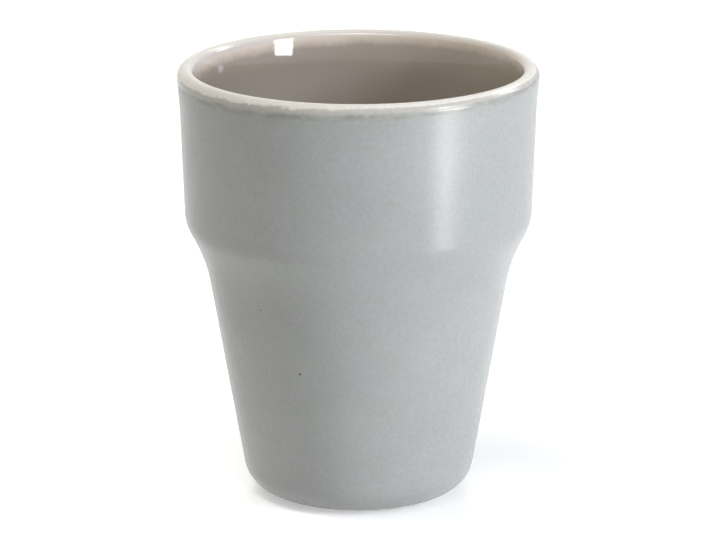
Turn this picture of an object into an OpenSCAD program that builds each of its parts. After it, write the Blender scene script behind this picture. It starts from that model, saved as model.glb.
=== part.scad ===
// Stacking coffee cup without a handle: a stoneware body with a wide collar,
// a sloping shoulder and a tapered lower wall, under four coats of glaze.
// The shoulder of one cup sits in the mouth of the next.
// Millimetres. The origin is on the table under the cup's centre, and +Z is up.

/* [Outline] */
// Height of the cup, from the table to the top of the rim
cup_h = 97; // [85:0.5:115]
// Outer diameter of the rim
rim_d = 80; // [70:0.5:95]
// How far the rim flares out of the collar's side
flare_out = 0.57; // [0.3:0.01:1.2]
// How far under the rim that flare starts
flare_h = 9; // [6:0.5:14]
// How far the collar's side draws in from there to its lower edge
collar_taper = 0.97; // [0.3:0.01:3]
// Height of the collar, from its lower edge to the top of the rim
collar_h = 34.8; // [28:0.1:42]
// How far the shoulder steps in under the collar
shoulder_w = 4.45; // [3:0.05:6]
// Height of the shoulder
shoulder_h = 8.4; // [6:0.1:12]
// How far the lower wall draws in from the shoulder to the base
wall_taper = 9.4; // [6:0.1:12]

/* [Outside roundings] */
// Rounding of the rim's outer edge
lip_outer_round = 2.05; // [1.2:0.05:2.2]
// Rounding where the flare leaves the collar
flare_round = 60; // [20:5:100]
// Rounding of the collar's lower edge
collar_round = 9.4; // [3:0.1:12]
// Rounding of the hollow under the shoulder
waist_round = 34; // [10:1:44]
// Rounding between the wall and the base
base_round = 7.6; // [4:0.1:9]

/* [Wall] */
// Thickness of the rim at its top
lip_t = 3.3; // [2.8:0.1:4.2]
// Thickness of the collar's wall
collar_wall_t = 4.8; // [3.8:0.1:5.4]
// Thickness of the shoulder's wall
shoulder_wall_t = 4.8; // [3.8:0.1:5.6]
// Thickness of the tapered wall
body_wall_t = 4.6; // [3.6:0.1:5.6]
// Thickness of the floor, from the recess underneath to the inside
floor_t = 5; // [4:0.1:7]

/* [Inside roundings] */
// Rounding of the rim's inner edge
lip_inner_round = 1.65; // [1:0.05:2]
// How far under the rim the inside wall starts to open towards it
inner_flare_h = 6; // [4:0.5:9]
// Rounding where that opening leaves the inside wall
inner_flare_round = 26; // [10:1:40]
// Rounding of the inside wall behind the collar's lower edge
inner_collar_round = 4.8; // [2:0.1:9]
// Rounding of the inside wall behind the hollow under the shoulder
inner_waist_round = 38; // [12:1:46]
// Rounding between the inside wall and the floor
floor_round = 10; // [5:0.5:13]

/* [Foot] */
// How far the foot ring lies inside the edge of the base
foot_inset = 7.1; // [6:0.1:9]
// Width of the foot ring
foot_w = 3.4; // [2:0.1:5]
// How far the foot ring stands out of the rounded base
foot_drop = 0.35; // [0.2:0.05:0.8]
// Chamfer along both edges of the foot ring
foot_chamfer = 0.25; // [0.1:0.05:0.5]
// Depth of the recess inside the foot ring
recess_h = 1.6; // [1.2:0.1:2.4]

/* [Glaze] */
// Thickness of every coat of glaze
glaze_t = 0.35; // [0.2:0.05:0.45]
// How far under the rim the outer coat stops
outer_line_h = 2; // [1:0.1:5]
// How far under the rim the inner coat stops
inner_line_h = 2.5; // [1.5:0.1:5]
// Width of the bare band between the foot ring and the outer coat
bare_band_w = 1.6; // [0.8:0.1:2.5]

/* [Hidden] */

// Most degrees that a rounding turns between two of its points
arc_step = 4;
// Steps of a full turn in the preview
turn_steps = 180;
// How far a cutting shape runs past what it cuts
overrun = 1;

rim_r = rim_d / 2;
flare_r = rim_r - flare_out;
collar_r = flare_r - collar_taper;
waist_r = collar_r - shoulder_w;
base_r = waist_r - wall_taper;
foot_r = base_r - foot_inset;
foot_inner_r = foot_r - foot_w;
floor_z = recess_h + floor_t;
outer_line_z = cup_h - outer_line_h;
inner_line_z = cup_h - inner_line_h;
outer_coat_start_r = foot_r + bare_band_w;

// Plane geometry: a point is [radius, height], and a line is [point, direction]
function left_of(v) = [-v.y, v.x];
function unit(v) = v / norm(v);
function cross_2d(a, b) = a.x * b.y - a.y * b.x;
function turn_at(a, b, c) = atan2(cross_2d(b - a, c - b), (b - a) * (c - b));
function line_left_of(a, b, gap) = [a + left_of(unit(b - a)) * gap, unit(b - a)];
function crossing(k, m) = k[0] + k[1] * cross_2d(m[0] - k[0], m[1]) / cross_2d(k[1], m[1]);
function at_height(k, z) = k[0] + k[1] * (z - k[0].y) / k[1].y;
// Length that a rounding takes from each edge of the corner a, b, c
function corner_run(a, b, c, radius) = radius * tan(abs(turn_at(a, b, c)) / 2);

// Corners of the outside, before rounding, from the centre of the base up to the rim
base_centre = [0, foot_drop];
base_corner = [base_r, foot_drop];
waist_corner = [waist_r, cup_h - collar_h - shoulder_h];
collar_corner = [collar_r, cup_h - collar_h];
flare_corner = [flare_r, cup_h - flare_h];

// The flare's line touches the outside of the rim's outer rounding
lip_centre = [rim_r - lip_outer_round, cup_h - lip_outer_round];
lip_way = lip_centre - flare_corner;
flare_angle = atan2(lip_way.y, lip_way.x) - asin(lip_outer_round / norm(lip_way));
lip_outer_corner = at_height([flare_corner, [cos(flare_angle), sin(flare_angle)]], cup_h);

// Lines of the inside wall, each one wall thickness from the outside
inner_collar_line = line_left_of(collar_corner, flare_corner, collar_wall_t);
inner_shoulder_line = line_left_of(waist_corner, collar_corner, shoulder_wall_t);
inner_body_line = line_left_of(base_corner, waist_corner, body_wall_t);
floor_line = [[0, floor_z], [1, 0]];

// Corners of the inside, before rounding, from the rim down to the centre of the floor
lip_inner_corner = [rim_r - lip_t, cup_h];
inner_flare_corner = at_height(inner_collar_line, cup_h - inner_flare_h);
inner_collar_corner = crossing(inner_collar_line, inner_shoulder_line);
inner_waist_corner = crossing(inner_shoulder_line, inner_body_line);
floor_corner = crossing(inner_body_line, floor_line);
floor_centre = [0, floor_z];

// The rim's top, where its outer rounding meets its inner one
outer_run = corner_run(flare_corner, lip_outer_corner, lip_inner_corner, lip_outer_round);
inner_run = corner_run(lip_outer_corner, lip_inner_corner, inner_flare_corner, lip_inner_round);
lip_top = lip_outer_corner + (lip_inner_corner - lip_outer_corner) * outer_run / (outer_run + inner_run);

outside_corners = [
    base_centre, base_corner, waist_corner, collar_corner, flare_corner, lip_outer_corner, lip_top
];
outside_rounds = [0, base_round, waist_round, collar_round, flare_round, lip_outer_round, 0];
inside_corners = [
    lip_top, lip_inner_corner, inner_flare_corner, inner_collar_corner, inner_waist_corner,
    floor_corner, floor_centre
];
inside_rounds = [
    0, lip_inner_round, inner_flare_round, inner_collar_round, inner_waist_round, floor_round, 0
];

// Length that the rounding of corner i takes from each of its edges
function run_at(p, r, i) =
    i == 0 || i == len(p) - 1 ? 0 : corner_run(p[i - 1], p[i], p[i + 1], r[i]);
// How much of its two roundings the edge after corner i has room for, at most all of them
function room_after(p, r, i) =
    let (edge = norm(p[i + 1] - p[i]), wanted = run_at(p, r, i) + run_at(p, r, i + 1))
    wanted > edge ? edge / wanted : 1;

// The stretch of outline that replaces corner i: its rounding, moved to its left by gap
function corner_arc(p, r, i, gap) =
    let (
        before = unit(p[i] - p[i - 1]),
        turn = turn_at(p[i - 1], p[i], p[i + 1]),
        side = sign(turn),
        radius = r[i] * min(room_after(p, r, i - 1), room_after(p, r, i)),
        start = p[i] - before * corner_run(p[i - 1], p[i], p[i + 1], radius),
        centre = start + left_of(before) * radius * side,
        moved = radius - side * gap,
        steps = ceil(abs(turn) / arc_step)
    )
    moved > 0
        ? [for (k = [0 : steps])
            let (a = turn * k / steps)
            centre - side * moved * (left_of(before) * cos(a) - before * sin(a))]
        : [crossing(line_left_of(p[i - 1], p[i], gap), line_left_of(p[i], p[i + 1], gap))];

// The whole outline through corners p with roundings r, moved to its left by gap
function outline(p, r, gap) =
    let (last = len(p) - 1)
    [
        p[0] + left_of(unit(p[1] - p[0])) * gap,
        for (i = [1 : last - 1]) each corner_arc(p, r, i, gap),
        p[last] + left_of(unit(p[last] - p[last - 1])) * gap
    ];

// Half sections, drawn with the radius along X and the height along Y
module outside_section(gap) {
    polygon(concat(outline(outside_corners, outside_rounds, gap), [[0, cup_h - gap]]));
}

module inside_section(gap) {
    over_rim = [[0, cup_h + overrun], [lip_top.x, cup_h + overrun]];
    polygon(concat(outline(inside_corners, inside_rounds, gap), over_rim));
}

module wall_section(gap) {
    difference() {
        outside_section(gap);
        inside_section(gap);
    }
}

module band_section(inner_r, outer_r, low_z, high_z) {
    translate([inner_r, low_z])
        square([outer_r - inner_r, high_z - low_z]);
}

// The foot ring, whose upper end is let into the base
module foot_section() {
    top_z = foot_drop + glaze_t + foot_chamfer;
    polygon([
        [foot_inner_r, top_z],
        [foot_inner_r, foot_chamfer],
        [foot_inner_r + foot_chamfer, 0],
        [foot_r - foot_chamfer, 0],
        [foot_r, foot_chamfer],
        [foot_r, top_z]
    ]);
}

module turned() {
    rotate_extrude($fn = turn_steps)
        children();
}

module stoneware_body() {
    color([0.9, 0.87, 0.81])
        turned()
            difference() {
                union() {
                    wall_section(glaze_t);
                    foot_section();
                }
                band_section(-overrun, foot_inner_r, -overrun, recess_h);
            }
}

// Satin coat on the outside, from the bare band at the foot up to its line under the rim
module outer_glaze() {
    color([0.7, 0.725, 0.735])
        turned()
            intersection() {
                difference() {
                    outside_section(0);
                    outside_section(glaze_t);
                }
                band_section(outer_coat_start_r, rim_r + overrun, 0, outer_line_z);
            }
}

// Cream coat over the rim, from the line of the outer coat to the line of the inner one
module rim_glaze() {
    color([0.93, 0.91, 0.87])
        turned()
            intersection() {
                difference() {
                    wall_section(0);
                    wall_section(glaze_t);
                }
                union() {
                    band_section(lip_top.x, rim_r + overrun, outer_line_z, cup_h + overrun);
                    band_section(0, lip_top.x, inner_line_z, cup_h + overrun);
                }
            }
}

// Gloss coat inside, from its line under the rim down to the floor
module inner_glaze() {
    color([0.6, 0.56, 0.5])
        turned()
            intersection() {
                difference() {
                    inside_section(glaze_t);
                    inside_section(0);
                }
                band_section(0, rim_r, 0, inner_line_z);
            }
}

// Coat on the ceiling of the recess inside the foot ring
module foot_glaze() {
    color([0.7, 0.725, 0.735])
        turned()
            band_section(0, foot_inner_r, recess_h - glaze_t, recess_h);
}

stoneware_body();
outer_glaze();
rim_glaze();
inner_glaze();
foot_glaze();
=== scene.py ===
import cmath
import math

import bpy
import numpy as np
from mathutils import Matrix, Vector, noise


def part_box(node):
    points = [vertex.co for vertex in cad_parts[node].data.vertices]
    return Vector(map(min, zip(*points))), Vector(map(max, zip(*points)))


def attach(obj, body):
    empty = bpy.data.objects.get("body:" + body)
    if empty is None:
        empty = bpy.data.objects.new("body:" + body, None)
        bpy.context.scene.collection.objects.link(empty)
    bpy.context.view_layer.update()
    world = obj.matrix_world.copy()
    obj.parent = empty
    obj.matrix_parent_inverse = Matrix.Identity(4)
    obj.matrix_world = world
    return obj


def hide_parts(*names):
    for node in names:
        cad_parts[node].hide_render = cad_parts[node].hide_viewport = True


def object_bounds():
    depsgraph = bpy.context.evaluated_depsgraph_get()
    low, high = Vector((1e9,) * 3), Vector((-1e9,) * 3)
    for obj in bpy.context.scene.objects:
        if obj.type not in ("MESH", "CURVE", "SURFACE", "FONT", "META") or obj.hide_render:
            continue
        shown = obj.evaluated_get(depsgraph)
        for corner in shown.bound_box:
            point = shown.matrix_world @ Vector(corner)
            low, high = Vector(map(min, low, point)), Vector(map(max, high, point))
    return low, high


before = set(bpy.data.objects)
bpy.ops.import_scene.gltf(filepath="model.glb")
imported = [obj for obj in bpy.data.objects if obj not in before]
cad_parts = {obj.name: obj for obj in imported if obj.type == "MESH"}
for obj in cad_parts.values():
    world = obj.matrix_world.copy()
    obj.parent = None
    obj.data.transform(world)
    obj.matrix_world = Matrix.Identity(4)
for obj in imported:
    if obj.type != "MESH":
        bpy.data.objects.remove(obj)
cad_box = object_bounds()

MM = 0.001

# Sizes that the frame gives
body_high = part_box("stoneware_body")[1]
rim_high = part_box("rim_glaze")[1]
outer_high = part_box("outer_glaze")[1]
inner_low, inner_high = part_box("inner_glaze")
foot_coat_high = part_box("foot_glaze")[1]
CUP_H = rim_high.z
RIM_R = cad_box[1].x
GLAZE_T = CUP_H - body_high.z
OUTER_LINE_Z = outer_high.z
INNER_LINE_Z = inner_high.z
FLOOR_Z = inner_low.z + GLAZE_T
RECESS_H = foot_coat_high.z
FOOT_INNER_R = foot_coat_high.x

# Outline, with the names and values of the CAD source
FLARE_OUT = 0.57 * MM
FLARE_H = 9 * MM
COLLAR_TAPER = 0.97 * MM
COLLAR_H = 34.8 * MM
SHOULDER_W = 4.45 * MM
SHOULDER_H = 8.4 * MM
WALL_TAPER = 9.4 * MM
LIP_OUTER_ROUND = 2.05 * MM
FLARE_ROUND = 60 * MM
COLLAR_ROUND = 9.4 * MM
WAIST_ROUND = 34 * MM
BASE_ROUND = 7.6 * MM
LIP_T = 3.3 * MM
COLLAR_WALL_T = 4.8 * MM
SHOULDER_WALL_T = 4.8 * MM
BODY_WALL_T = 4.6 * MM
LIP_INNER_ROUND = 1.65 * MM
INNER_FLARE_H = 6 * MM
INNER_FLARE_ROUND = 26 * MM
INNER_COLLAR_ROUND = 4.8 * MM
INNER_WAIST_ROUND = 38 * MM
FLOOR_ROUND = 10 * MM
FOOT_INSET = 7.1 * MM
FOOT_DROP = 0.35 * MM
BARE_BAND_W = 1.6 * MM

FLARE_R = RIM_R - FLARE_OUT
COLLAR_R = FLARE_R - COLLAR_TAPER
WAIST_R = COLLAR_R - SHOULDER_W
BASE_R = WAIST_R - WALL_TAPER
FOOT_R = BASE_R - FOOT_INSET
COLLAR_Z = CUP_H - COLLAR_H
WAIST_Z = COLLAR_Z - SHOULDER_H

# Density of the meshes, and of the search along an outline
COLUMNS = 288
ARC_STEP = math.radians(2)
ROW_STEP = 0.9 * MM
SEARCH_POINTS = 20001


# Outlines in the half plane: a point is radius + height i, and the clay lies to the left of the way along
def unit(way):
    return way / abs(way)


def cross(a, b):
    return (a.conjugate() * b).imag


def line_left_of(a, b, gap):
    """The line (point, direction) that runs that gap to the left of the way from a to b."""
    return a + 1j * unit(b - a) * gap, unit(b - a)


def crossing(line, other):
    """Where two lines (point, direction) cross."""
    return line[0] + line[1] * cross(other[0] - line[0], other[1]) / cross(line[1], other[1])


def at_height(line, z):
    """Where a line (point, direction) reaches a height."""
    return line[0] + line[1] * (z - line[0].imag) / line[1].imag


def rounded(corners):
    """The outline through corners (point, rounding), as (point, direction to its left) pairs."""
    first, second = corners[0][0], corners[1][0]
    line = [(first, 1j * unit(second - first))]
    for (a, _), (b, rounding), (c, _) in zip(corners, corners[1:], corners[2:]):
        before = unit(b - a)
        turn = cmath.phase((c - b) / before)
        side = math.copysign(1, turn)
        start = b - before * rounding * math.tan(abs(turn) / 2)
        centre = start + 1j * before * side * rounding
        steps = max(1, math.ceil(abs(turn) / ARC_STEP))
        for k in range(steps + 1):
            spin = cmath.exp(1j * turn * k / steps)
            line.append((centre + (start - centre) * spin, 1j * before * spin))
    line.append((corners[-1][0], line[-1][1]))
    return line


class Outline:
    """An outline that can be asked for its points and left directions by the way along it."""

    def __init__(self, corners):
        line = rounded(corners)
        self.points = np.array([point for point, _ in line])
        self.lefts = np.array([left for _, left in line])
        self.ways = np.concatenate([[0], np.cumsum(np.abs(np.diff(self.points)))])

    def at(self, way):
        point = np.interp(way, self.ways, self.points)
        left = np.interp(way, self.ways, self.lefts)
        return point, left / np.abs(left)

    def way_at(self, wanted, measure, start=0):
        """The first way along, after start, where measure of the point reaches wanted."""
        ways = np.linspace(start, self.ways[-1], SEARCH_POINTS)
        values = measure(self.at(ways)[0]) - wanted
        hit = np.nonzero(np.sign(values[1:]) != np.sign(values[0]))[0][0] + 1
        return ways[hit - 1] + (ways[hit] - ways[hit - 1]) * values[hit - 1] / (values[hit - 1] - values[hit])


base_corner = BASE_R + 1j * FOOT_DROP
waist_corner = WAIST_R + 1j * WAIST_Z
collar_corner = COLLAR_R + 1j * COLLAR_Z
flare_corner = FLARE_R + 1j * (CUP_H - FLARE_H)
lip_centre = RIM_R - LIP_OUTER_ROUND + 1j * (CUP_H - LIP_OUTER_ROUND)
flare_way = unit(lip_centre - flare_corner) * cmath.exp(
    -1j * math.asin(LIP_OUTER_ROUND / abs(lip_centre - flare_corner)))
lip_outer_corner = at_height((flare_corner, flare_way), CUP_H)
lip_inner_corner = RIM_R - LIP_T + 1j * CUP_H
inner_collar_line = line_left_of(collar_corner, flare_corner, COLLAR_WALL_T)
inner_shoulder_line = line_left_of(waist_corner, collar_corner, SHOULDER_WALL_T)
inner_body_line = line_left_of(base_corner, waist_corner, BODY_WALL_T)
floor_line = (1j * FLOOR_Z, 1 + 0j)

# The glaze's surface in one sweep: base, outside wall, rim, inside wall and floor
skin = Outline([
    (1j * FOOT_DROP, 0),
    (base_corner, BASE_ROUND),
    (waist_corner, WAIST_ROUND),
    (collar_corner, COLLAR_ROUND),
    (flare_corner, FLARE_ROUND),
    (lip_outer_corner, LIP_OUTER_ROUND),
    (lip_inner_corner, LIP_INNER_ROUND),
    (at_height(inner_collar_line, CUP_H - INNER_FLARE_H), INNER_FLARE_ROUND),
    (crossing(inner_collar_line, inner_shoulder_line), INNER_COLLAR_ROUND),
    (crossing(inner_shoulder_line, inner_body_line), INNER_WAIST_ROUND),
    (crossing(inner_body_line, floor_line), FLOOR_ROUND),
    (1j * FLOOR_Z, 0),
])

# Ways along the skin: the rim's top, the outer coat's lower edge, the lines between the coats, the floor
below_rim_way = skin.way_at(CUP_H - MM, np.imag)
LIP_TOP_WAY = skin.way_at(lip_inner_corner.real + LIP_INNER_ROUND / 2, np.real, below_rim_way)
OUTER_START_WAY = skin.way_at(FOOT_R + BARE_BAND_W, np.real)
OUTER_LINE_WAY = skin.way_at(OUTER_LINE_Z, np.imag)
INNER_LINE_WAY = skin.way_at(INNER_LINE_Z, np.imag, LIP_TOP_WAY)
FLOOR_WAY = skin.ways[-1]

# The foot ring with the recess inside it, from the recess's centre out to the base
FOOT_ROUND = 0.45 * MM
FOOT_FILLET = 0.3 * MM
BASE_JOIN_W = 0.6 * MM
BASE_JOIN_R = FOOT_R + BASE_JOIN_W
clay_base_z = FOOT_DROP + GLAZE_T
foot = Outline([
    (1j * RECESS_H, 0),
    (FOOT_INNER_R + 1j * RECESS_H, FOOT_FILLET),
    (FOOT_INNER_R + 0j, FOOT_ROUND),
    (FOOT_R + 0j, FOOT_ROUND),
    (FOOT_R + 1j * clay_base_z, FOOT_FILLET),
    (BASE_JOIN_R + 1j * clay_base_z, 0),
])

angles = np.linspace(0, 2 * math.pi, COLUMNS, endpoint=False)


def ways_between(outline, start, end, step):
    """Ways along the outline from start to end: its own points, and more of them on its long stretches."""
    inside = (outline.ways > start) & (outline.ways < end)
    stops = [start, *outline.ways[inside], end]
    ways = [start]
    for a, b in zip(stops, stops[1:]):
        count = max(1, math.ceil((b - a) / step))
        ways.extend(a + (b - a) * np.arange(1, count + 1) / count)
    return np.array(ways)


def in_space(ring):
    """The points of a ring in space, one at each column."""
    ring = np.broadcast_to(ring, angles.shape)
    return np.stack([ring.real * np.cos(angles), ring.real * np.sin(angles), ring.imag], axis=1)


def new_object(name, data):
    """A new object of that data, in the scene."""
    thing = bpy.data.objects.new(name, data)
    bpy.context.scene.collection.objects.link(thing)
    return thing


def turned(name, rings, sharp=()):
    """A closed mesh turned round Z from a closed loop of rings, with the material to the loop's left.

    A ring is an array with one point per column, or a single point where the loop touches the axis.
    sharp lists the rings whose edges stay sharp."""
    points, starts = [], []
    for ring in rings:
        starts.append(len(points))
        points.extend(in_space(ring).tolist() if np.ndim(ring) else [(0, 0, ring.imag)])
    faces = []
    columns = [(k, (k + 1) % COLUMNS) for k in range(COLUMNS)]
    for i, ring in enumerate(rings):
        j = (i + 1) % len(rings)
        low, high = starts[i], starts[j]
        if np.ndim(ring) and np.ndim(rings[j]):
            faces.extend((low + a, low + b, high + b, high + a) for a, b in columns)
        elif np.ndim(ring):
            faces.extend((low + a, low + b, high) for a, b in columns)
        elif np.ndim(rings[j]):
            faces.extend((low, high + b, high + a) for a, b in columns)
    mesh = bpy.data.meshes.new(name)
    mesh.from_pydata(points, [], faces)
    mesh.shade_smooth()
    mark_sharp(mesh, [starts[i] for i in sharp])
    return new_object(name, mesh)


def mark_sharp(mesh, ring_starts):
    """Keeps the edges of the rings whose first points are given sharp under smooth shading."""
    ends = np.empty(len(mesh.edges) * 2, np.int32)
    mesh.edges.foreach_get("vertices", ends)
    ends = ends.reshape(-1, 2)
    sharp = np.zeros(len(ends), bool)
    for start in ring_starts:
        sharp |= np.all((ends >= start) & (ends < start + COLUMNS), axis=1)
    mesh.attributes.new("sharp_edge", "BOOLEAN", "EDGE").data.foreach_set("value", sharp)


def noise_on(ring, size, shift=0):
    """Soft noise from 0 to 1 at each column of a ring, with swells of that size.

    shift moves it along, so that two noises on the same ring differ."""
    places = in_space(ring) / size
    return np.array([0.5 + 0.5 * noise.noise((x + shift, y, z)) for x, y, z in places]).clip(0, 1)


# How the fired glaze lies: long soft swells, and a rounded, slightly wandering lower edge
SWELL_SIZE = 17 * MM
SWELL_DEPTH = 0.05 * MM
RIPPLE_SIZE = 5 * MM
RIPPLE_DEPTH = 0.012 * MM
RIPPLE_SHIFT = 40
EDGE_ROUND = 0.5 * MM
EDGE_ROWS = 8
EDGE_LEAST = 0.1
EDGE_WANDER = 0.9 * MM
EDGE_WANDER_SIZE = 9 * MM
EDGE_WANDER_SHIFT = 7
EDGE_REACH = 5 * MM
TOUCHES_AXIS = 0.001 * MM


def swelled(ways):
    """One ring of the skin at those ways along it, sunk a little where the glaze lies thinner."""
    point, left = skin.at(ways)
    swell = SWELL_DEPTH * noise_on(point, SWELL_SIZE)
    ripple = RIPPLE_DEPTH * noise_on(point, RIPPLE_SIZE, RIPPLE_SHIFT)
    return point + left * (swell + ripple)


def edge_thickness(past_edge):
    """The share of its thickness that a coat has that far past its rounded edge."""
    to_full = max(0, 1 - past_edge / EDGE_ROUND)
    return max(EDGE_LEAST, math.sqrt(1 - to_full ** 2))


def coat(name, start, end, wander=False):
    """One coat of glaze from start to end along the skin, as a shell one glaze thickness deep.

    With wander, its edge at start is rounded off and lies at an uneven height."""
    ways = ways_between(skin, start, end, ROW_STEP)
    edge_lift = np.zeros(COLUMNS)
    if wander:
        edge_ways = start + EDGE_ROUND * (1 - np.cos(np.arange(EDGE_ROWS) / EDGE_ROWS * math.pi / 2))
        ways = np.concatenate([edge_ways, ways[ways > start + EDGE_ROUND]])
        edge_lift = EDGE_WANDER * noise_on(skin.at(start)[0], EDGE_WANDER_SIZE, EDGE_WANDER_SHIFT)
    surface, back = [], []
    for way in ways:
        point, left = skin.at(way)
        if point.real < TOUCHES_AXIS:
            surface.append(point + left * SWELL_DEPTH / 2)
            back.append(point + left * GLAZE_T)
            continue
        here = way + edge_lift * max(0, 1 - (way - start) / EDGE_REACH) ** 2
        point, left = skin.at(here)
        thinner = 1 - edge_thickness(way - start) if wander else 0
        surface.append(swelled(here) + left * GLAZE_T * thinner)
        back.append(point + left * GLAZE_T)
    rings = surface + back[::-1]
    corners = (0, len(ways) - 1, len(ways), len(rings) - 1)
    return turned(name, rings, [i for i in corners if np.ndim(rings[i])])


# The clay: a dry ground foot where it shows, and fewer rings where the coats hide it
FOOT_WEAR = 0.05 * MM
FOOT_WEAR_SIZE = 3 * MM
FOOT_STEP = 0.3 * MM
HIDDEN_EVERY = 3


def clay_body():
    """The clay, with the foot ring's own surface and one glaze thickness under the skin elsewhere."""
    rings = [foot.points[0]]
    for way in ways_between(foot, 0, foot.ways[-1], FOOT_STEP)[1:]:
        point, left = foot.at(way)
        rings.append(point + left * FOOT_WEAR * noise_on(point, FOOT_WEAR_SIZE))
    start = skin.way_at(BASE_JOIN_R + FOOT_STEP, np.real)
    shown_until = OUTER_START_WAY + EDGE_REACH
    ways = ways_between(skin, start, FLOOR_WAY, ROW_STEP)
    hidden = ways[ways > shown_until]
    for way in [*ways[ways <= shown_until], *hidden[:-1:HIDDEN_EVERY]]:
        point, left = skin.at(way)
        rings.append(point + left * np.full(COLUMNS, GLAZE_T))
    rings.append(1j * (FLOOR_Z - GLAZE_T))
    return turned("clay_body", rings)


# The coat in the recess: faint rings on its face, and an uneven edge that climbs the foot ring's side
FACE_ROWS = 20
FACE_RIDGE = 0.03 * MM
FACE_RIDGE_W = 1.7 * MM
CLIMB_ROWS = 14
CLIMB_LEAST = 0.3 * MM
CLIMB_MORE = 0.4 * MM
CLIMB_SIZE = 6 * MM
CLIMB_SHIFT = 3
CLIMB_FADE = 0.45 * MM
CLIMB_REACH = 4 * CLIMB_FADE


def recess_coat():
    """The coat on the recess's ceiling, whose edge climbs the side of the foot ring."""
    face_z = RECESS_H - GLAZE_T
    side_r = FOOT_INNER_R
    flat_r = side_r - CLIMB_REACH
    climb = CLIMB_LEAST + CLIMB_MORE * noise_on(side_r + 0j, CLIMB_SIZE, CLIMB_SHIFT)
    rings = [1j * face_z]
    for r in [*np.arange(1, FACE_ROWS) / FACE_ROWS * flat_r, *np.linspace(flat_r, side_r, CLIMB_ROWS)]:
        lift = climb * math.exp((r - side_r) / CLIMB_FADE)
        ridge = FACE_RIDGE * (0.5 + 0.5 * math.cos(r / FACE_RIDGE_W * 2 * math.pi))
        swell = SWELL_DEPTH * noise_on(r + 1j * face_z, RIPPLE_SIZE)
        rings.append(r + 1j * (face_z - lift + ridge + swell))
    last = len(rings) - 1
    rings.append(np.full(COLUMNS, side_r + 1j * RECESS_H))
    rings.append(1j * RECESS_H)
    return turned("recess_glaze", rings, (last, last + 1))


# Colours as they look on a screen, from 0 to 255
GREY = (173, 174, 172)
GREY_THIN = (171, 172, 168)
GREY_MOSS = (169, 172, 163)
OLIVE = (171, 172, 164)
BREAK = (195, 191, 182)
BREAK_LOW = (191, 187, 179)
CREAM = (239, 233, 223)
ROSE_CREAM = (230, 221, 212)
ROSE = (236, 222, 207)
ROSE_LOW = (211, 197, 180)
# The upper taupe is painted darker than the deep taupe: painted shade near the rim, so that the inside
# darkens less towards the bottom than the lamps alone make it.
TAUPE_PAINTED_SHADE = (177, 166, 153)
TAUPE_DEEP = (182, 173, 161)
CLAY = (216, 205, 187)
CLAY_DARK = (190, 174, 150)
IRON = (70, 66, 58)
WHITE = (1, 1, 1, 1)

# How far under the rim each colour of the glaze sits, in millimetres
RAMP_REACH = 10
OUTSIDE_RAMP = [(0.55, CREAM), (0.95, BREAK), (1.8, BREAK_LOW), (2.4, OLIVE), (3.0, OLIVE), (3.8, GREY_THIN),
                (6.0, GREY)]
# Inside, the taupe from 3.4 to 6 mm is darker than deep down as painted shade, not as a change in the glaze.
INSIDE_RAMP = [(0.15, CREAM), (0.5, ROSE_CREAM), (1.2, ROSE), (2.4, ROSE_LOW), (3.4, TAUPE_PAINTED_SHADE), (6.0, TAUPE_PAINTED_SHADE),
               (9.0, TAUPE_DEEP)]

# The span that most of a shader's soft noise keeps to
NOISE_SPAN = (0.3, 0.7)

# Sockets of a Mix node for two colours and their mix, which share their names with others
MIX_FIRST, MIX_SECOND, MIX_RESULT = 6, 7, 2


def linear(colour):
    """A screen colour as the linear light that shaders take, by the sRGB curve."""
    def channel(c):
        return c / 12.92 if c <= 0.04045 else ((c + 0.055) / 1.055) ** 2.4
    return [channel(c / 255) for c in colour] + [1]


class Nodes:
    """The node tree of a new material or world, to which each call adds nodes."""

    def __init__(self, owner):
        owner.use_nodes = True
        self.tree = owner.node_tree
        self.tree.nodes.clear()

    def add(self, kind, inputs=(), **settings):
        """The outputs of a new node whose inputs are constants or the outputs of others."""
        node = self.tree.nodes.new("ShaderNode" + kind)
        for name, value in settings.items():
            setattr(node, name, value)
        for socket, value in dict(inputs).items():
            if isinstance(value, bpy.types.NodeSocket):
                self.tree.links.new(value, node.inputs[socket])
            else:
                node.inputs[socket].default_value = value
        return node.outputs

    def math(self, operation, *values):
        return self.add("Math", enumerate(values), operation=operation)[0]

    def seen(self):
        """1 to the camera, in reflections and through glass, and 0 where it would light something."""
        path = self.add("LightPath")
        camera_or_gloss = self.math("MAXIMUM", path["Is Camera Ray"], path["Is Glossy Ray"])
        return self.math("MAXIMUM", camera_or_gloss, path["Is Transmission Ray"])


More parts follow.
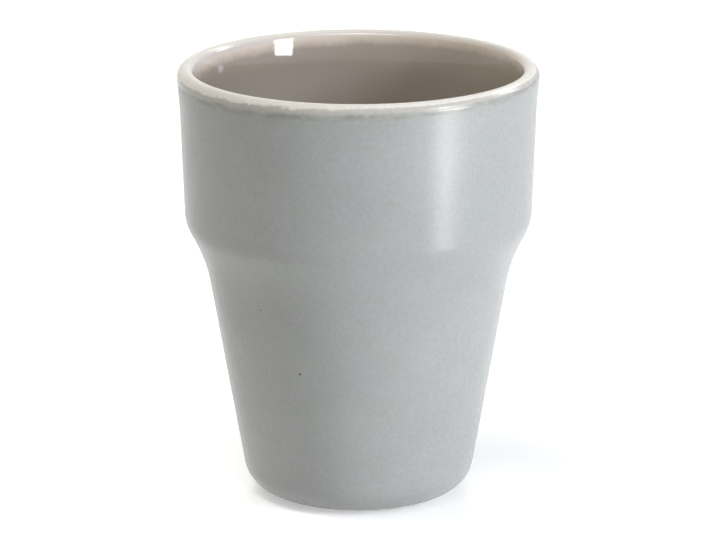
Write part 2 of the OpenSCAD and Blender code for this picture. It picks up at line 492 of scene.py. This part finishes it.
class Shader(Nodes):
    """The material of a piece, with the place on that piece and how far across and up it is."""

    def __init__(self, name):
        self.material = bpy.data.materials.new(name)
        super().__init__(self.material)
        self.place = self.add("TexCoord")["Object"]
        self.across, _, self.height = self.add("SeparateXYZ", {0: self.place})

    def vector(self, operation, *values):
        outputs = self.add("VectorMath", enumerate(values), operation=operation)
        return outputs["Value" if operation in ("LENGTH", "DISTANCE") else "Vector"]

    def flat_place(self):
        """The place on the piece, brought down to height 0."""
        return self.vector("MULTIPLY", self.place, (1, 1, 0))

    def noise(self, size, detail=2, place=None):
        """Noise round 0.5, with swells of that size and finer ones on them as detail goes up."""
        inputs = {"Vector": place or self.place, "Scale": 1 / size, "Detail": detail}
        return self.add("TexNoise", inputs)["Fac"]

    def between(self, value, span, to=(0, 1)):
        """value over its span carried to the span called to, and held beyond."""
        return self.add("MapRange", {"Value": value, "From Min": span[0], "From Max": span[1],
                                     "To Min": to[0], "To Max": to[1]})[0]

    def band(self, value, comes, goes):
        """1 between two spans of value: it comes up from 0 over the first and goes back over the second."""
        return self.math("MULTIPLY", self.between(value, comes), self.between(value, goes, (1, 0)))

    def swing(self, size, reach, detail):
        """Noise that swings about 0 and keeps within half of reach to either side."""
        return self.between(self.noise(size, detail), (0, 1), (-reach / 2, reach / 2))

    def mix(self, share, first, second, blend="MIX"):
        """first, turning to second as share goes from 0 to 1."""
        inputs = {"Factor": share, MIX_FIRST: first, MIX_SECOND: second}
        return self.add("Mix", inputs, data_type="RGBA", blend_type=blend)[MIX_RESULT]

    def shaded(self, colour, shade):
        """colour with each of its channels multiplied by shade."""
        grey = self.add("CombineColor", {0: shade, 1: shade, 2: shade})[0]
        return self.mix(1, colour, grey, "MULTIPLY")

    def ramp(self, depth, stops):
        """Colours by depth, from stops (depth, colour); both depths are in millimetres."""
        outputs = self.add("ValToRGB", {0: self.math("DIVIDE", depth, RAMP_REACH)})
        elements = outputs[0].node.color_ramp.elements
        elements.remove(elements[1])
        for i, (stop, colour) in enumerate(stops):
            element = elements.new(stop / RAMP_REACH) if i else elements[0]
            element.position = stop / RAMP_REACH
            element.color = linear(colour)
        return outputs[0]

    def bump(self, height, depth, normal=None):
        """The surface's direction with dents of that depth, on top of those that normal has already."""
        inputs = {"Height": height, "Distance": depth, "Strength": 1}
        if normal:
            inputs["Normal"] = normal
        return self.add("Bump", inputs)["Normal"]

    def finish(self, colour, roughness, normal):
        """The finished material, with that colour, roughness and surface direction."""
        inputs = {"Base Color": colour, "Roughness": roughness, "Normal": normal}
        self.add("OutputMaterial", {"Surface": self.add("BsdfPrincipled", inputs)["BSDF"]})
        return self.material


# How many millimetres the poured lines lean up at the right, wander and fray round the cup. All of it sets in
# over the span of depth LINE_MOVES, so that the rim's top stays even.
LINE_LEAN = 0.85
LINE_WANDER = 1.1
LINE_WANDER_SIZE = 7 * MM
LINE_FRAY = 0.9
LINE_FRAY_SIZE = 1.3 * MM
LINE_MOVES = (0.2, 1.2)


def depth_under_rim(shader):
    """Way down from the rim in millimetres, leaning, wandering and frayed as poured glaze is."""
    depth = shader.math("MULTIPLY", shader.math("SUBTRACT", CUP_H, shader.height), 1 / MM)
    lean = shader.math("MULTIPLY", shader.across, LINE_LEAN / RIM_R)
    wander = shader.swing(LINE_WANDER_SIZE, LINE_WANDER, detail=1)
    fray = shader.swing(LINE_FRAY_SIZE, LINE_FRAY, detail=3)
    moved = shader.math("ADD", lean, shader.math("ADD", wander, fray))
    held = shader.math("MULTIPLY", moved, shader.between(depth, LINE_MOVES))
    return shader.math("ADD", depth, held)


# The outside: moss and clouds in the grey, a fine grain, and flat dark patches along the olive line.
# A name with COMES or GOES is a span of depth in millimetres, and one with SHADE is a factor on brightness.
MOSS_SIZE = 8 * MM
MOSS_NOISE = (0.42, 0.62)
MOSS_SHARE = (0, 0.35)
MOSS_COMES = (3.0, 5.0)
CLOUD_SIZE = 14 * MM
CLOUD_SHADE = (0.97, 1.03)
GRAIN_SIZE = 0.9 * MM
GRAIN_SHADE = (0.95, 1.05)
PATCH_SIZE = 5 * MM
PATCH_FLATNESS = 3
PATCH_NOISE = (0.38, 0.62)
PATCH_SHADE = (1, 0.8)
PATCH_COMES = (1.6, 2.2)
PATCH_GOES = (2.8, 3.6)
SATIN_COMES = (0.4, 2.6)
OUTSIDE_ROUGHNESS = (0.16, 0.27)


def patch_shade(shader, depth):
    """The shade of the dark patches in the olive line."""
    level = shader.vector("MULTIPLY", shader.place, (1, 1, PATCH_FLATNESS))
    patch = shader.between(shader.noise(PATCH_SIZE, detail=3, place=level), PATCH_NOISE)
    patch = shader.math("MULTIPLY", patch, shader.band(depth, PATCH_COMES, PATCH_GOES))
    return shader.between(patch, (0, 1), PATCH_SHADE)


def outside_glaze(shader, depth):
    """Colour and roughness of the glaze on the outside: cream, an olive line, then mottled blue-grey."""
    moss = shader.between(shader.noise(MOSS_SIZE, detail=3), MOSS_NOISE, MOSS_SHARE)
    moss = shader.math("MULTIPLY", moss, shader.between(depth, MOSS_COMES))
    colour = shader.mix(moss, shader.ramp(depth, OUTSIDE_RAMP), linear(GREY_MOSS))
    cloud = shader.between(shader.noise(CLOUD_SIZE), NOISE_SPAN, CLOUD_SHADE)
    grain = shader.between(shader.noise(GRAIN_SIZE, detail=3), NOISE_SPAN, GRAIN_SHADE)
    mottle = shader.math("MULTIPLY", shader.math("MULTIPLY", cloud, grain), patch_shade(shader, depth))
    return shader.shaded(colour, mottle), shader.between(depth, SATIN_COMES, OUTSIDE_ROUGHNESS)


# The fine unevenness of the glaze: soft dents, and pits in the span of depth where the cream breaks up
DENT_SIZE = 1.4 * MM
WALL_DENT = 0.02 * MM
RIM_DENT = 0.01 * MM
PIT_SIZE = 0.6 * MM
PIT_DEPTH = 0.035 * MM
PITS_COME = (0.3, 1.0)
PITS_GO = (2.4, 3.6)


def glaze_skin(shader, depth, dent):
    """The surface's direction with the glaze's soft dents, of that depth, and its small pits."""
    soft = shader.bump(shader.noise(DENT_SIZE), dent)
    pits = shader.math("MULTIPLY", shader.noise(PIT_SIZE, detail=3), shader.band(depth, PITS_COME, PITS_GO))
    return shader.bump(pits, PIT_DEPTH, soft)


# Iron specks in the outer glaze: angle from the front to the right in degrees, height, diameter
SPECKS = [
    (-24.6, 34.3 * MM, 0.62 * MM),
    (-40.2, 48.1 * MM, 0.4 * MM),
    (96, 71 * MM, 0.5 * MM),
    (158, 24 * MM, 0.6 * MM),
    (-139, 80 * MM, 0.4 * MM),
]

# A speck fades out between two shares of its diameter, and covers a share of the glaze's colour
SPECK_CORE = 0.25
SPECK_REACH = 0.65
SPECK_SHARE = 0.9


def at_azimuth(azimuth, distance, height):
    """The place at an angle in degrees from the front to the right, that far from the axis."""
    turn = math.radians(azimuth)
    return Vector((distance * math.sin(turn), -distance * math.cos(turn), height))


def with_specks(shader, colour):
    """colour with the iron specks, each where the line from the axis to its place meets the surface."""
    outwards = shader.vector("NORMALIZE", shader.flat_place())
    on_wall = shader.vector("MULTIPLY", outwards, (WAIST_R, WAIST_R, WAIST_R))
    here = shader.vector("ADD", on_wall, shader.add("CombineXYZ", {2: shader.height})[0])
    for azimuth, height, diameter in SPECKS:
        gap = shader.vector("DISTANCE", here, at_azimuth(azimuth, WAIST_R, height))
        iron = shader.between(gap, (SPECK_CORE * diameter, SPECK_REACH * diameter), (SPECK_SHARE, 0))
        colour = shader.mix(iron, colour, linear(IRON))
    return colour


def satin_grey():
    shader = Shader("satin_grey_glaze")
    depth = depth_under_rim(shader)
    colour, rough = outside_glaze(shader, depth)
    return shader.finish(with_specks(shader, colour), rough, glaze_skin(shader, depth, WALL_DENT))


# The inside: smoother and glossier, with wide clouds
INSIDE_CLOUD_SIZE = 20 * MM
INSIDE_DENT_SIZE = 6 * MM
INSIDE_DENT = 0.02 * MM
GLOSS_COMES = (1.0, 4.0)
INSIDE_ROUGHNESS = (0.07, 0.05)


def inside_glaze(shader, depth):
    """Colour and roughness of the glaze on the inside: cream over the rim, then smooth taupe, with painted
    shade on its upper part.
    """
    cloud = shader.between(shader.noise(INSIDE_CLOUD_SIZE), NOISE_SPAN, CLOUD_SHADE)
    colour = shader.shaded(shader.ramp(depth, INSIDE_RAMP), cloud)
    return colour, shader.between(depth, GLOSS_COMES, INSIDE_ROUGHNESS)


def gloss_taupe():
    shader = Shader("gloss_taupe_glaze")
    colour, rough = inside_glaze(shader, depth_under_rim(shader))
    return shader.finish(colour, rough, shader.bump(shader.noise(INSIDE_DENT_SIZE, detail=1), INSIDE_DENT))


# The width over which the outside's colours turn to the inside's on top of the rim
RIM_BLEND_W = 0.4 * MM


def cream_rim():
    """Both sides of the rim: the colours of the outside and the inside meet on its top in cream."""
    shader = Shader("cream_glaze")
    depth = depth_under_rim(shader)
    outer, outer_rough = outside_glaze(shader, depth)
    inner, inner_rough = inside_glaze(shader, depth)
    radius = shader.vector("LENGTH", shader.flat_place())
    top_r = skin.at(LIP_TOP_WAY)[0].real
    outwards = shader.between(radius, (top_r - RIM_BLEND_W / 2, top_r + RIM_BLEND_W / 2))
    colour = shader.mix(outwards, inner, outer)
    rough = shader.between(outwards, (0, 1), (inner_rough, outer_rough))
    outside_depth = shader.math("MULTIPLY", depth, outwards)
    return shader.finish(colour, rough, glaze_skin(shader, outside_depth, RIM_DENT))


# The bare clay: cloudy, with dark grog in it, and dry to the touch
CLAY_CLOUD_SIZE = 5 * MM
CLAY_CLOUD_NOISE = (0.35, 0.65)
CLAY_ROUGHNESS = 0.85
GROG_SIZE = 0.8 * MM
GROG_EDGE = (0, 0.16)
GROG_SHARE = (0.7, 0)
CLAY_GRAIN_SIZE = 0.35 * MM
CLAY_GRAIN_DEPTH = 0.05 * MM


def bare_clay():
    shader = Shader("bare_stoneware")
    cloud = shader.between(shader.noise(CLAY_CLOUD_SIZE, detail=4), CLAY_CLOUD_NOISE)
    colour = shader.mix(cloud, linear(CLAY), linear(CLAY_DARK))
    from_grain = shader.add("TexVoronoi", {"Vector": shader.place, "Scale": 1 / GROG_SIZE})["Distance"]
    colour = shader.mix(shader.between(from_grain, GROG_EDGE, GROG_SHARE), colour, linear(IRON))
    grain = shader.bump(shader.noise(CLAY_GRAIN_SIZE, detail=3), CLAY_GRAIN_DEPTH)
    return shader.finish(colour, CLAY_ROUGHNESS, grain)


# Each piece with its material, the CAD node that it replaces and its slot
pieces = [
    (clay_body(), bare_clay(), "stoneware_body", "bare_stoneware"),
    (coat("outside_glaze", OUTER_START_WAY, OUTER_LINE_WAY, wander=True), satin_grey(),
     "outer_glaze", "satin_grey_glaze"),
    (coat("lip_glaze", OUTER_LINE_WAY, INNER_LINE_WAY), cream_rim(), "rim_glaze", "cream_glaze"),
    (coat("inside_glaze", INNER_LINE_WAY, FLOOR_WAY), gloss_taupe(), "inner_glaze", "gloss_taupe_glaze"),
    (recess_coat(), satin_grey(), "foot_glaze", "satin_grey_glaze"),
]
for piece, material, node, slot in pieces:
    piece.data.materials.append(material)
    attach(piece, "root")
    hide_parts(node)

# The camera, fitted to the photo: metres, radians and, for the lens, millimetres and pixels
VIEW_ELEVATION = 0.267
VIEW_DISTANCE = 1.0039
VIEW_ROLL = 0.0015
VIEW_CENTRE = Vector((0, 0, 0.04753))
AIM = Vector((-0.0001, 0.0007, 0.05014))
SENSOR = 36
FOCAL_PIXELS = 4501.3
IMAGE_WIDTH = 716
NEAREST = 0.05
FARTHEST = 20

# The studio's floor and lamps: metres, and shares of white
FLOOR_HALF = 3
FLOOR_WHITE = (0.95, 0.95, 0.95, 1)
FLOOR_GLOW = 0.45
LAMP_DISTANCE = 1.0
CEILING_SIZE = (0.4, 0.4)
COOL = (0.87, 0.91, 1)
WARM = (1, 0.985, 0.84)

# Places that the lamps look at: the cup's middle, and for the nearest ones where the photo shows a shine
CUP_MIDDLE = (0, 0, CUP_H / 2)
FAR_RIM = (0, 0.038, CUP_H)
WALL_STREAK = (0.018, -0.034, 0.083)
FRONT_RIM = (0.02, -0.033, 0.0955)


def turn_to(thing, place):
    """Turns a camera or a lamp to look at a place."""
    thing.rotation_euler = (Vector(place) - thing.location).to_track_quat("-Z", "Y").to_euler()


def make_camera():
    optics = bpy.data.cameras.new("camera")
    optics.sensor_width = SENSOR
    optics.lens = FOCAL_PIXELS / IMAGE_WIDTH * SENSOR
    optics.clip_start = NEAREST
    optics.clip_end = FARTHEST
    camera = new_object("camera", optics)
    back = Vector((0, -math.cos(VIEW_ELEVATION), math.sin(VIEW_ELEVATION)))
    camera.location = VIEW_CENTRE + back * VIEW_DISTANCE
    turn_to(camera, AIM)
    camera.rotation_euler.rotate_axis("Z", -VIEW_ROLL)
    bpy.context.scene.camera = camera


def make_lamp(name, azimuth, height, size, power, distance=LAMP_DISTANCE, tint=(1, 1, 1), aim=CUP_MIDDLE,
              spread=180, lights=True, shines=True):
    """A soft lamp of that size (width, height), which looks at aim.

    Its azimuth is in degrees from the camera's side to the right, and its beam spreads over that many
    degrees. It lights the cup, is mirrored in its shine, or both."""
    light = bpy.data.lights.new(name, "AREA")
    light.shape = "RECTANGLE"
    light.size, light.size_y = size
    light.energy = power
    light.color = tint
    light.spread = math.radians(spread)
    lamp = new_object(name, light)
    lamp.location = at_azimuth(azimuth, distance, height)
    turn_to(lamp, aim)
    lamp.visible_camera = False
    lamp.visible_diffuse = lights
    lamp.visible_glossy = shines


def make_world():
    """A world that is white where it is seen and lights nothing."""
    world = bpy.data.worlds.new("studio")
    nodes = Nodes(world)
    background = nodes.add("Background", {"Color": WHITE, "Strength": nodes.seen()})[0]
    nodes.add("OutputWorld", {"Surface": background})
    bpy.context.scene.world = world


def make_floor():
    """A matt white floor, lit up a little where it is seen, so that only the shadow greys it."""
    mesh = bpy.data.meshes.new("floor")
    corners = [(x * FLOOR_HALF, y * FLOOR_HALF, 0) for x, y in ((-1, -1), (1, -1), (1, 1), (-1, 1))]
    mesh.from_pydata(corners, [], [(0, 1, 2, 3)])
    material = bpy.data.materials.new("floor")
    nodes = Nodes(material)
    matt = nodes.add("BsdfDiffuse", {"Color": FLOOR_WHITE})[0]
    strength = nodes.math("MULTIPLY", nodes.seen(), FLOOR_GLOW)
    glow = nodes.add("Emission", {"Color": WHITE, "Strength": strength})[0]
    nodes.add("OutputMaterial", {"Surface": nodes.add("AddShader", {0: matt, 1: glow})[0]})
    mesh.materials.append(material)
    floor = new_object("floor", mesh)


bpy.context.scene.view_settings.view_transform = "Standard"
make_camera()
make_floor()
make_world()

# The key lights the cup and is mirrored in it. Five lamps light it without being mirrored. The other five
# are only mirrored, in place of the windows and reflectors that show in the photo's cup.
make_lamp("key", azimuth=57, height=0.45, size=(0.255, 0.3), power=5.4, tint=COOL)
make_lamp("low_right", azimuth=62, height=0.11, size=(0.5, 0.2), power=4.2, tint=COOL, shines=False)
make_lamp("side", azimuth=119, height=0.62, size=(0.2, 0.35), power=2.4, lights=False)
make_lamp("behind", azimuth=141, height=0.8, size=(0.6, 0.2), power=1.2, lights=False)
make_lamp("back", azimuth=180, height=0.45, size=(0.4, 0.4), power=4.0, shines=False)
make_lamp("over_left", azimuth=-95, height=0.9, size=CEILING_SIZE, power=1.85, distance=0.6, tint=WARM,
          shines=False)
make_lamp("over_front", azimuth=0, height=0.9, size=CEILING_SIZE, power=1.7, distance=0.6, shines=False)
make_lamp("overhead", azimuth=-60, height=1.0, size=CEILING_SIZE, power=2.9, distance=0.25, shines=False)
make_lamp("far_rim", azimuth=0, height=0.15, size=(0.042, 0.014), power=0.0021, distance=0, aim=FAR_RIM,
          spread=60, lights=False)
make_lamp("strip", azimuth=51.2, height=0.05, size=(0.028, 0.09), power=0.0038, distance=0.16,
          aim=WALL_STREAK, spread=50, lights=False)
make_lamp("glint", azimuth=54, height=0.078, size=(0.044, 0.033), power=0.0075, distance=0.16,
          aim=FRONT_RIM, spread=50, lights=False)
